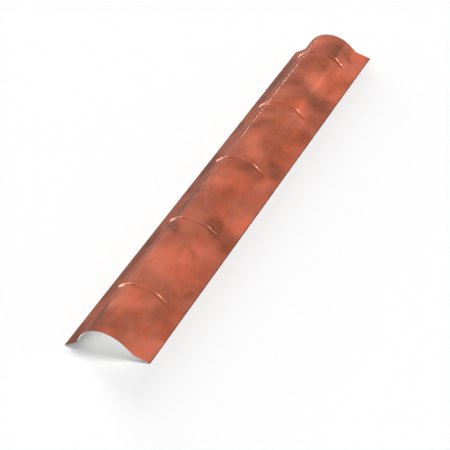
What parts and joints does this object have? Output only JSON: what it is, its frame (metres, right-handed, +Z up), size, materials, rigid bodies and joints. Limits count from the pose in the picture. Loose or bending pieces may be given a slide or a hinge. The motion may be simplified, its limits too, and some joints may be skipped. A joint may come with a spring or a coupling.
{
  "type": "roof ridge cap",
  "caption": "Half-round ridge cap of coated sheet steel with cross beads and sloping hemmed flanges, laid along the top of a pitched roof.",
  "frame": {"origin": "middle of the footprint, on the floor that the two folded edges stand on", "axes": "+X along the ridge towards the end with the shorter plain stretch, +Z up to the crown of the roll"},
  "size_m": [2, 0.3756, 0.1179],
  "materials": {
    "coated_sheet": "glossy mottled terracotta coating on galvanized sheet steel"
  },
  "bodies": {
    "root": {"ridge_cap": "coated_sheet"}
  },
  "joints": []
}
